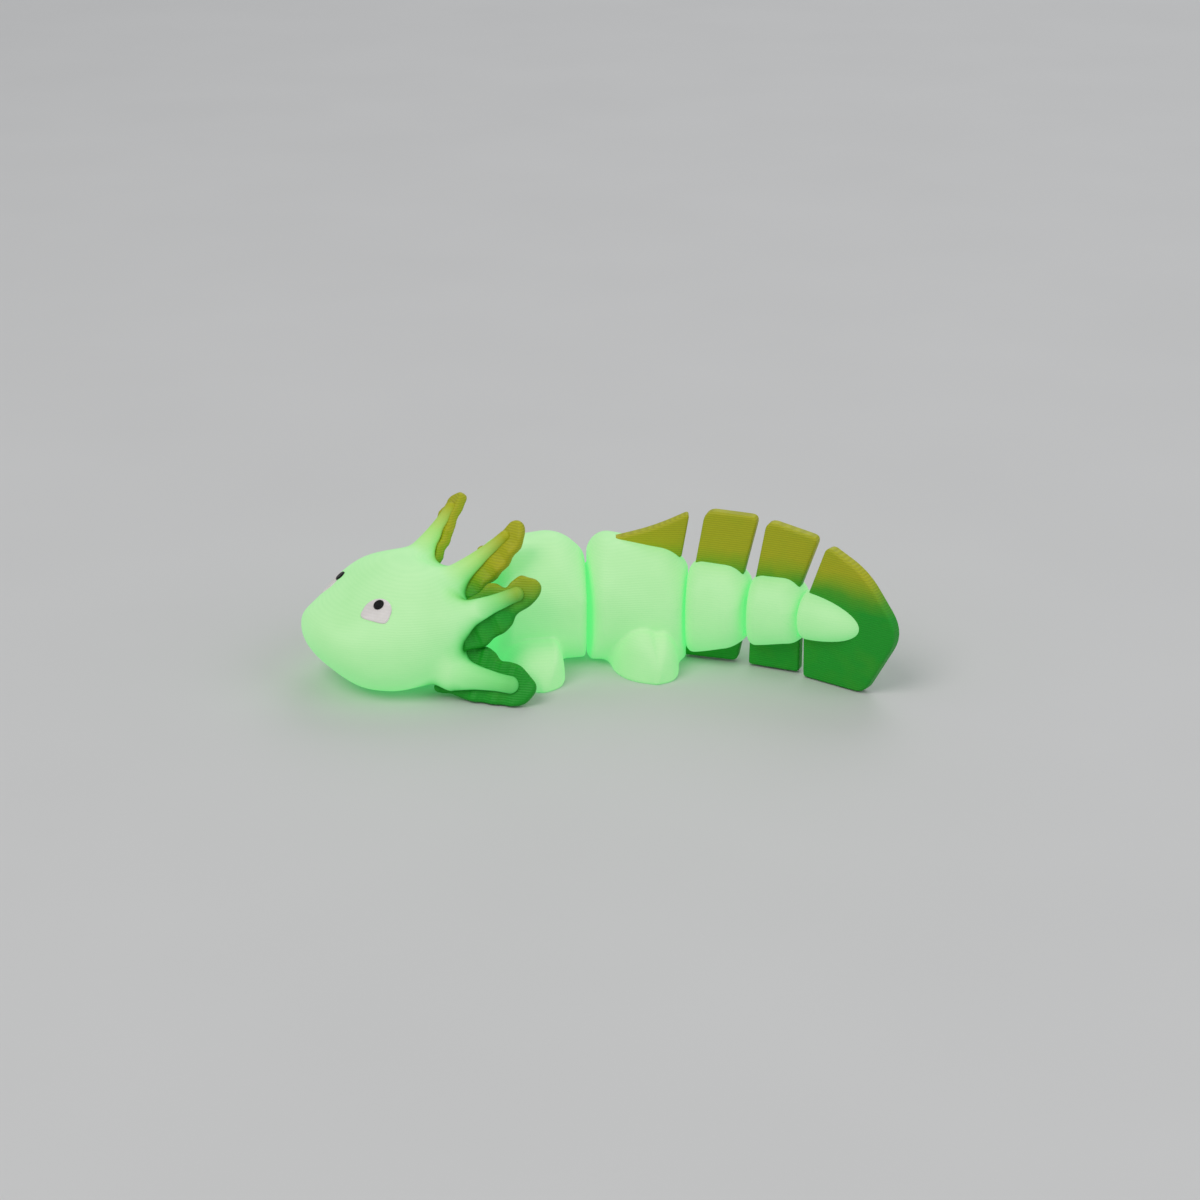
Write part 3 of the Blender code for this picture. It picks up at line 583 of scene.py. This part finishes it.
def gill_axes(gill, side):
    """A gill's base, the directions along, across and out of its plate, and its stem's offset."""
    mirror = np.array((1, side, 1))
    base = np.array(gill.base) * mirror
    tip, lean, ahead = BENT_GILLS.get((gill.name, side), (gill.tip, gill.lean, gill.ahead))
    along = (np.array(tip) * mirror - base) / math.dist(gill.base, gill.tip)
    turn = math.radians(lean)
    across = np.array((0, side * math.sin(turn), math.cos(turn)))
    across = across - along * (across @ along) / (along @ along)
    across = across / np.linalg.norm(across)
    out = np.cross(along, across)
    out = out / np.linalg.norm(out)
    return base, along, across, out if out[0] < 0 else -out, ahead


def stem_ends(gill, side):
    """The middles of a stem's two ends."""
    base, along, across, out, ahead = gill_axes(gill, side)
    root, end = (base + along * reach + across * rise for reach, rise, _ in gill.stem)
    return root + out * ahead, end


def stem_field(p, gill, side):
    root, end = stem_ends(gill, side)
    return flared_stem(p, root, end, gill.stem[0][2], gill.stem[1][2])


def stem_fade_and_shade(p):
    """How far the skin's colour has turned into the frills', from 0 to 1: partly the frills' own
    colour, partly painted shade along the stems and round the frills' roots.
    """
    fade = np.zeros(len(p))
    for side, _ in SIDES:
        for gill in GILLS:
            share = segment_share(p, *stem_ends(gill, side))
            near = np.clip(1 - stem_field(p, gill, side) / FADE_AND_SHADE_REACH, 0, 1)
            start, most = gill.fade
            fade = np.maximum(fade, near * most * np.clip((share - start) / (1 - start), 0, 1))
            # round a frill's root: its colour showing in the skin, with painted shade in the crease
            # where it meets the head
            reach = np.interp(share, ROOT_SHARES, ROOT_REACH)
            rooted = np.clip(1 - plate_field(p, gill, side) / reach, 0, 1)
            fade = np.maximum(fade, rooted ** 2)
    return fade


def head_with_stems(p):
    shape = bare_head(p)
    for side, _ in SIDES:
        for gill in GILLS:
            shape = smooth_union(shape, stem_field(p, gill, side), STEM_BLEND)
    return on_floor(shape, p[:, 2])


def plate_field(p, gill, side):
    """A gill's whole plate, flat at its stem and ruffled toward its free edge."""
    base, along, across, out, _ = gill_axes(gill, side)
    u, v, w = (p - base) @ along / (along @ along), (p - base) @ across, (p - base) @ out
    t = u / math.dist(gill.base, gill.tip)
    free = np.clip(np.abs(v) / RUFFLE_REACH, 0, 1)
    middle = -np.interp(t, (0, 1), FRILL_BACK)
    middle = middle + RUFFLE_DEPTH * free * np.sin(math.tau * u / RUFFLE_PITCH)
    rib = RIB_DEPTH * np.cos(math.tau * u / RIB_PITCH) * free
    plate = np.abs(w - middle) - FRILL_PLATE / 2 - rib
    return rounded_cut(outline_distance(u, v, smooth_loop(gill.edge)), plate, FRILL_RIM)


def frill_field(p, gill, side):
    """The part of a gill's plate that stands out of the head."""
    shape = rounded_cut(plate_field(p, gill, side), -bare_head(p) - FIN_ROOT, ROOT_EDGE)
    return on_floor(shape, p[:, 2])


def fin_field(p, corners, start, body):
    """An upright plate with a rounded rim, rooted in its link's body."""
    x, y, z = p.T
    outline = rounded_corners([(start + u, v, radius) for u, v, radius in corners])
    shape = rounded_cut(outline_distance(x, z, outline), np.abs(y) - FIN_PLATE / 2, FIN_RIM)
    shape = rounded_cut(shape, -body(p) - FIN_ROOT, ROOT_EDGE)
    return on_floor(shape, z)


class Eye:
    """Where an eye sits: its centre on the head's skin and the axes of its face."""

    def __init__(self, low, high, shift=(0, 0, 0)):
        centre = settle(bare_head, np.array([(low + high) / 2 + shift]), EYE_SETTLE_STEPS)[0]
        normal = slope_of(bare_head, centre[None])[0]
        self.centre = centre
        self.normal = normal / np.linalg.norm(normal)
        along = np.cross((0, 0, 1), self.normal)
        self.along = along / np.linalg.norm(along)
        self.up = np.cross(self.normal, self.along)

    def across(self, p):
        """Coordinates of points across the eye's face."""
        return (p - self.centre) @ self.along, (p - self.centre) @ self.up


def white_outline(p, eye):
    u, v = eye.across(p)
    v = v - EYE_WIDEST
    height = np.where(v > 0, EYE_ABOVE, EYE_BELOW)
    power = np.where(v > 0, EYE_ARCH, EYE_SQUARE)
    return tube(u, v, EYE_HALF_WIDTH, height, power)


def facing(p, eye):
    """Negative on the eye's own side of the head."""
    return -(p - eye.centre) @ eye.normal - 2 * EYE_HALF_WIDTH


def head_field(p, eyes):
    """The whole skin of the head, with a shallow recess round each eye."""
    shape = head_with_stems(p)
    for eye in eyes:
        groove = np.maximum(white_outline(p, eye) - RECESS_WIDTH, facing(p, eye))
        groove = rounded_cut(groove, -shape - RECESS_DEPTH, EYE_RIM)
        shape = -smooth_union(-shape, groove, EYE_RIM)
    return with_pocket(shape, p, NECK_HINGE)


def inlay(p, eye, outline, depth, proud):
    """A piece of an outline across the eye's face, let into the head and a little proud of it."""
    shell = np.abs(bare_head(p) + (depth - proud) / 2) - (depth + proud) / 2
    return np.maximum(rounded_cut(outline, shell, EYE_RIM), facing(p, eye))


def white_field(p, eye):
    return inlay(p, eye, white_outline(p, eye), EYE_DEPTH, EYE_PROUD)


def pupil_field(p, eye):
    return inlay(p, eye, np.hypot(*eye.across(p)) - PUPIL_RADIUS, PUPIL_DEPTH, PUPIL_PROUD)


# ---- From fields to meshes ----------------------------------------------------------


def slope_of(field, points):
    """The field's gradient at each point."""
    steps = np.eye(3) * PROBE
    return np.stack([field(points + s) - field(points - s) for s in steps], axis=1) / (2 * PROBE)


def settle(field, points, steps=SETTLE_STEPS):
    """Points moved straight onto the field's surface."""
    for _ in range(steps):
        slope = slope_of(field, points)
        steep = np.maximum((slope ** 2).sum(axis=1), LEAST_STEEP)
        points = points - (field(points) / steep)[:, None] * slope
    return points


def sample(field, low, high, step):
    """The field on a grid, measured only in the blocks that the surface can cross."""
    blocks = np.ceil((high - low) / (step * BLOCK)).astype(int)
    size = blocks * BLOCK + 1
    middles = np.stack(np.meshgrid(*[(np.arange(n) + 0.5) * BLOCK * step for n in blocks],
                                   indexing="ij"), axis=-1).reshape(-1, 3) + low
    coarse = field(middles).reshape(blocks)
    reach = BLOCK * step * BLOCK_REACH
    values = np.where(coarse < 0, -reach, reach)
    active = np.abs(coarse) < reach
    for axis in range(3):
        values = np.repeat(values, BLOCK, axis=axis)
        active = np.repeat(active, BLOCK, axis=axis)
    grid = np.pad(values, ((0, 1),) * 3, mode="edge")
    needed = np.zeros(size, bool)
    for corner in np.ndindex(2, 2, 2):
        window = tuple(slice(c, c + n - 1) for c, n in zip(corner, size))
        needed[window] |= active
    places = np.argwhere(needed)
    grid[needed] = field(places * step + low)
    return grid


def net(grid, low, step):
    """One point in each cell that the surface crosses, and a quad round each crossed edge."""
    inside = grid < 0
    sides, cells, points = [], [], []
    cell_size = np.array(grid.shape) + 1
    for axis in range(3):
        near = tuple(slice(0, -1) if k == axis else slice(None) for k in range(3))
        far = tuple(slice(1, None) if k == axis else slice(None) for k in range(3))
        edges = np.argwhere(inside[near] != inside[far])
        a = grid[near][tuple(edges.T)]
        b = grid[far][tuple(edges.T)]
        crossing = edges.astype(float)
        crossing[:, axis] += a / (a - b)
        second, third = (axis + 1) % 3, (axis + 2) % 3
        corners = []
        for shift_second, shift_third in ((1, 1), (0, 1), (0, 0), (1, 0)):
            cell = edges + 1
            cell[:, second] -= shift_second
            cell[:, third] -= shift_third
            corners.append(np.ravel_multi_index(tuple(cell.T), cell_size))
        quad = np.stack(corners, axis=1)
        quad[a > 0] = quad[a > 0][:, ::-1]
        sides.append(quad)
        cells.append(quad.ravel())
        points.append(np.repeat(crossing, 4, axis=0))
    used, index = np.unique(np.concatenate(cells), return_inverse=True)
    places = np.concatenate(points)
    count = np.bincount(index)
    corners = np.stack([np.bincount(index, places[:, k]) / count for k in range(3)], axis=1)
    quads = np.searchsorted(used, np.concatenate(sides))
    return corners * step + low, quads


def link_places():
    """Each body's frame as a matrix from the link's millimetres to the row's metres."""
    hinge = {j["child"]: Vector(j["pos_m"]) for j in frame["joints"]}

    def heading(start, end):
        return math.atan2(end.y - start.y, end.x - start.x)

    chest_turn = heading(hinge["head"], hinge["chest"])
    middle_turn = heading(hinge["tail_middle"], hinge["tail_tip"])
    turns = {
        "hips": 0.0,
        "chest": chest_turn,
        "head": chest_turn + math.radians(NECK_TURN),
        "tail_base": heading(hinge["tail_base"], hinge["tail_middle"]),
        "tail_middle": middle_turn,
        "tail_tip": middle_turn + math.radians(TIP_TURN),
    }
    places = {}
    for body, turn in turns.items():
        at = hinge.get(body, Vector())
        place = Matrix.Translation((at.x, at.y, 0)) @ Matrix.Rotation(turn, 4, "Z")
        places[body] = np.array(place @ Matrix.Scale(MM, 4))
    return places


PLACES = link_places()


def node_box(body, *nodes):
    """Lowest and highest corner of CAD nodes in their link's frame."""
    back = np.linalg.inv(PLACES[body])
    corners = []
    for node in nodes:
        co = np.array([v.co for v in frame["nodes"][node].data.vertices])
        corners.append(co @ back[:3, :3].T + back[:3, 3])
    points = np.concatenate(corners)
    return points.min(axis=0), points.max(axis=0)


def make_piece(name, body, surface, field, nodes, step, fade=None):
    """Mesh a field, dress it, and let it stand for its CAD nodes on their body."""
    low, high = node_box(body, *nodes)
    low, high = low - MARGIN, high + MARGIN
    points, quads = net(sample(field, low, high, step), low, step)
    points = settle(field, points)
    place = PLACES[body]
    mesh = bpy.data.meshes.new(name)
    mesh.from_pydata((points @ place[:3, :3].T + place[:3, 3]).tolist(), [], quads.tolist())
    mesh.shade_smooth()
    mesh.materials.append(surface)
    # a share for each point of the frills' colour and of painted shade, for the skin's material
    if fade:
        mesh.attributes.new("fade", "FLOAT", "POINT").data.foreach_set("value", fade(points))
    piece = bpy.data.objects.new(name, mesh)
    bpy.context.scene.collection.objects.link(piece)
    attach(piece, body)
    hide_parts(*nodes)


# ---- Materials ----------------------------------------------------------------------


class Paint:
    """A Principled material with small helpers for its node tree."""

    def __init__(self, name, roughness):
        self.material = bpy.data.materials.new(name)
        self.material.use_nodes = True
        self.nodes = self.material.node_tree.nodes
        self.links = self.material.node_tree.links
        self.shader = self.nodes["Principled BSDF"]
        self.shader.inputs["Roughness"].default_value = roughness
        self.place = self.add("ShaderNodeTexCoord").outputs["Object"]

    def add(self, kind, **settings):
        node = self.nodes.new(kind)
        for key, value in settings.items():
            setattr(node, key, value)
        return node

    def wire(self, source, target):
        self.links.new(source, target)

    def noise(self, size):
        """Soft blotches of about a size in millimetres."""
        node = self.add("ShaderNodeTexNoise")
        node.inputs["Scale"].default_value = 1 / (size * MM)
        self.wire(self.place, node.inputs["Vector"])
        return node.outputs["Fac"]

    def layers(self):
        """Printed layers: level bands along Z."""
        node = self.add("ShaderNodeTexWave", bands_direction="Z")
        node.inputs["Scale"].default_value = math.tau / (WAVE_RATE * LAYER * MM)
        node.inputs["Distortion"].default_value = LAYER_WOBBLE
        node.inputs["Detail"].default_value = 1.0
        node.inputs["Detail Scale"].default_value = LAYER_WOBBLE_SCALE
        self.wire(self.place, node.inputs["Vector"])
        return node.outputs["Fac"]

    def ramp(self, value, stops):
        """Colours along a value."""
        node = self.add("ShaderNodeValToRGB")
        while len(node.color_ramp.elements) < len(stops):
            node.color_ramp.elements.new(0.5)
        for element, (position, color) in zip(node.color_ramp.elements, stops):
            element.position = position
            element.color = (*color, 1.0)
        self.wire(value, node.inputs["Fac"])
        return node.outputs["Color"]

    def mottled(self, value, tones):
        """A colour that wanders between two tones."""
        return self.ramp(value, tuple(zip(MOTTLE, tones)))

    def math(self, operation, a, b):
        """One sum on two values, either of which may be a number."""
        node = self.add("ShaderNodeMath", operation=operation)
        for socket, value in zip(node.inputs, (a, b)):
            if isinstance(value, (int, float)):
                socket.default_value = value
            else:
                self.wire(value, socket)
        return node.outputs[0]

    def mixed(self, low, high, share):
        """Two colours mixed by a value."""
        node = self.add("ShaderNodeMix", data_type="RGBA")
        for source, socket in ((low, "A"), (high, "B"), (share, "Factor")):
            self.wire(source, node.inputs[socket])
        return node.outputs["Result"]

    def two_tone(self):
        """The trim's colours by height, with a soft uneven border."""
        height = self.add("ShaderNodeSeparateXYZ")
        self.wire(self.place, height.inputs[0])
        rise = self.add("ShaderNodeMapRange")
        rise.inputs["From Min"].default_value = TURN_LOW * MM
        rise.inputs["From Max"].default_value = TURN_HIGH * MM
        self.wire(height.outputs["Z"], rise.inputs["Value"])
        uneven = self.math("SUBTRACT", self.noise(TURN_DRIFT_SIZE), 0.5)
        drift = self.math("MULTIPLY", uneven, TURN_DRIFT)
        return self.ramp(self.math("ADD", rise.outputs["Result"], drift), TWO_TONE)

    def shaded(self, color, value, share):
        """A colour with painted shade: darkened a little where a value is low."""
        node = self.add("ShaderNodeMix", data_type="RGBA", blend_type="MULTIPLY")
        node.inputs["Factor"].default_value = share
        self.wire(color, node.inputs["A"])
        self.wire(value, node.inputs["B"])
        return node.outputs["Result"]

    def relief(self, value, depth):
        """Fine relief of a depth in millimetres."""
        node = self.add("ShaderNodeBump")
        node.inputs["Distance"].default_value = depth * MM
        self.wire(value, node.inputs["Height"])
        self.wire(node.outputs["Normal"], self.shader.inputs["Normal"])

    def color(self, color):
        self.wire(color, self.shader.inputs["Base Color"])

    def rough(self, value, low, high):
        """Roughness that varies with a value."""
        node = self.add("ShaderNodeMapRange")
        node.inputs["To Min"].default_value = low
        node.inputs["To Max"].default_value = high
        self.wire(value, node.inputs["Value"])
        self.wire(node.outputs["Result"], self.shader.inputs["Roughness"])


def glow_material(name, fades_and_shades=False):
    """Pale glow-in-the-dark filament, with a green light of its own.

    Where the skin nears the gills it turns into the trim's colours and stops glowing: partly the
    frills' own colour, partly painted shade along the stems and round the frills' roots.
    """
    paint = Paint(name, roughness=0.55)
    cloud = paint.noise(size=6.0)
    layers = paint.layers()
    # painted shade in the grooves between layers
    color = paint.shaded(paint.mottled(cloud, GLOW_TONES), layers, SKIN_GROOVE_SHADE)
    shader = paint.shader
    shader.inputs["Emission Strength"].default_value = GLOW_STRENGTH
    if fades_and_shades:
        # near the gills: the frills' colour and painted shade, with the glow dimmed to match
        fade = paint.add("ShaderNodeAttribute", attribute_name="fade").outputs["Fac"]
        color = paint.mixed(color, paint.two_tone(), paint.math("POWER", fade, FADE_AND_SHADE_POWER))
        paint.wire(paint.ramp(fade, GLOW_BY_FADE_AND_SHADE), shader.inputs["Emission Color"])
    else:
        shader.inputs["Emission Color"].default_value = (*GLOW_COLOR, 1.0)
    paint.color(color)
    grain = paint.math("MULTIPLY", paint.noise(GRAIN_SIZE), GRAIN_SHARE)
    paint.relief(paint.math("ADD", layers, grain), LAYER_RELIEF / 2)
    paint.rough(cloud, low=0.48, high=0.62)
    shader.inputs["Specular IOR Level"].default_value = SPECULAR
    return paint.material


def fin_material():
    """Fin and frill colour by height: green low down, olive yellow above."""
    paint = Paint("fin_filament", roughness=0.5)
    layers = paint.layers()
    # painted shade in the grooves between layers
    paint.color(paint.shaded(paint.two_tone(), layers, TRIM_GROOVE_SHADE))
    paint.relief(layers, LAYER_RELIEF)
    paint.rough(paint.noise(size=3.0), low=0.45, high=0.6)
    paint.shader.inputs["Specular IOR Level"].default_value = SPECULAR
    return paint.material


def eye_material():
    """Matte off-white filament."""
    paint = Paint("eye_white", roughness=0.5)
    layers = paint.layers()
    tone = paint.mottled(paint.noise(size=1.5), WHITE_TONES)
    # painted shade in the grooves between layers
    paint.color(paint.shaded(tone, layers, SKIN_GROOVE_SHADE))
    paint.relief(layers, LAYER_RELIEF / 2)
    return paint.material


def pupil_material():
    """Satin black filament."""
    paint = Paint("pupil_black", roughness=0.4)
    paint.color(paint.mottled(paint.noise(size=0.4), BLACK_TONES))
    paint.relief(paint.layers(), LAYER_RELIEF)
    paint.shader.inputs["Specular IOR Level"].default_value = PUPIL_SPECULAR
    return paint.material


# ---- The toy ------------------------------------------------------------------------


def make_head(trim):
    white, black = eye_material(), pupil_material()
    eyes = []
    for _, word in SIDES:
        eye = Eye(*node_box("head", f"eye_{word}"), EYE_SHIFTS[word])
        pupil = Eye(*node_box("head", f"pupil_{word}"))
        eyes.append(eye)
        make_piece(f"white_{word}", "head", white,
                   lambda p, eye=eye: white_field(p, eye), [f"eye_{word}"], TRIM_STEP)
        make_piece(f"iris_{word}", "head", black,
                   lambda p, eye=pupil: pupil_field(p, eye), [f"pupil_{word}"], PUPIL_STEP)
    stems = [f"gill_{gill.name}_{word}" for gill in GILLS for _, word in SIDES]
    # the head's skin takes the frills' colour and painted shade near the gills
    make_piece("skin_head", "head", glow_material("glow_fade_and_shade", fades_and_shades=True),
               lambda p: head_field(p, eyes), ["head"] + stems, SKIN_STEP, stem_fade_and_shade)
    for side, word in SIDES:
        for gill in GILLS:
            make_piece(f"ruffle_{gill.name}_{word}", "head", trim,
                       lambda p, gill=gill, side=side: frill_field(p, gill, side),
                       [f"frill_{gill.name}_{word}"], TRIM_STEP)


def make_fin(name, body, start, link_body, trim):
    """One fin, under a name of its own, in place of its CAD node."""
    corners = FINS[name]
    make_piece(name.replace("fin", "crest"), body, trim,
               lambda p: fin_field(p, corners, start, link_body), [name], TRIM_STEP)


def make_toy():
    glow, trim = glow_material("glow_filament"), fin_material()
    make_head(trim)
    links = (
        ("chest", chest_field, ["leg_front_left", "leg_front_right"]),
        ("hips", hips_field, ["leg_rear_left", "leg_rear_right"]),
        ("tail_base", tail_base_field, []),
        ("tail_middle", tail_middle_field, []),
        ("tail_tip", tip_field, []),
    )
    for body, field, legs in links:
        make_piece(f"skin_{body}", body, glow, field, [body] + legs, SKIN_STEP)
    fins = (
        ("fin_hips", "hips", HIPS.start, hips_field),
        ("fin_upper_base", "tail_base", TAIL_BASE.start, tail_base_field),
        ("fin_lower_base", "tail_base", TAIL_BASE.start, tail_base_field),
        ("fin_upper_middle", "tail_middle", TAIL_MIDDLE.start, tail_middle_field),
        ("fin_lower_middle", "tail_middle", TAIL_MIDDLE.start, tail_middle_field),
        ("fin_tip", "tail_tip", TIP_START, tip_field),
    )
    for name, body, start, field in fins:
        make_fin(name, body, start, field, trim)


# ---- Studio -------------------------------------------------------------------------


def make_floor():
    """A pale, faintly mottled studio floor."""
    paint = Paint("studio_floor", roughness=0.7)
    paint.color(paint.mottled(paint.noise(size=40.0), FLOOR_TONES))
    mesh = bpy.data.meshes.new("floor")
    r = FLOOR_REACH
    mesh.from_pydata([(-r, -r, 0), (r, -r, 0), (r, r, 0), (-r, r, 0)], [], [(0, 1, 2, 3)])
    mesh.materials.append(paint.material)
    floor = bpy.data.objects.new("floor", mesh)
    bpy.context.scene.collection.objects.link(floor)


def aim(thing, target):
    """Turn a light or the camera toward a point."""
    thing.rotation_euler = (Vector(target) - thing.location).to_track_quat("-Z", "Y").to_euler()


def add_light(name, location, size, power, color, target):
    data = bpy.data.lights.new(name, "AREA")
    data.shape = "DISK"
    data.size = size
    data.energy = power
    data.color = color
    light = bpy.data.objects.new(name, data)
    light.location = location
    bpy.context.scene.collection.objects.link(light)
    aim(light, target)


def make_studio():
    low, high = CAD_BOX
    target = Vector(((low.x + high.x) / 2 + AIM_BACK * MM, 0, AIM_HEIGHT * MM))
    make_floor()
    for light in LIGHTS:
        add_light(*light, target)
    world = bpy.data.worlds.new("studio")
    world.use_nodes = True
    backdrop = world.node_tree.nodes["Background"]
    backdrop.inputs["Color"].default_value = WORLD_COLOR
    backdrop.inputs["Strength"].default_value = WORLD_STRENGTH
    bpy.context.scene.world = world
    bpy.context.scene.view_settings.view_transform = "Standard"
    camera = bpy.data.objects.new("camera", bpy.data.cameras.new("camera"))
    camera.data.lens = CAMERA_LENS
    camera.data.sensor_width = CAMERA_SENSOR
    camera.data.clip_start = CAMERA_CLIP
    direction = Vector((0, -math.cos(CAMERA_ELEVATION), math.sin(CAMERA_ELEVATION)))
    camera.location = target + direction * CAMERA_DISTANCE * MM
    bpy.context.scene.collection.objects.link(camera)
    aim(camera, target)
    bpy.context.scene.camera = camera


make_toy()
make_studio()
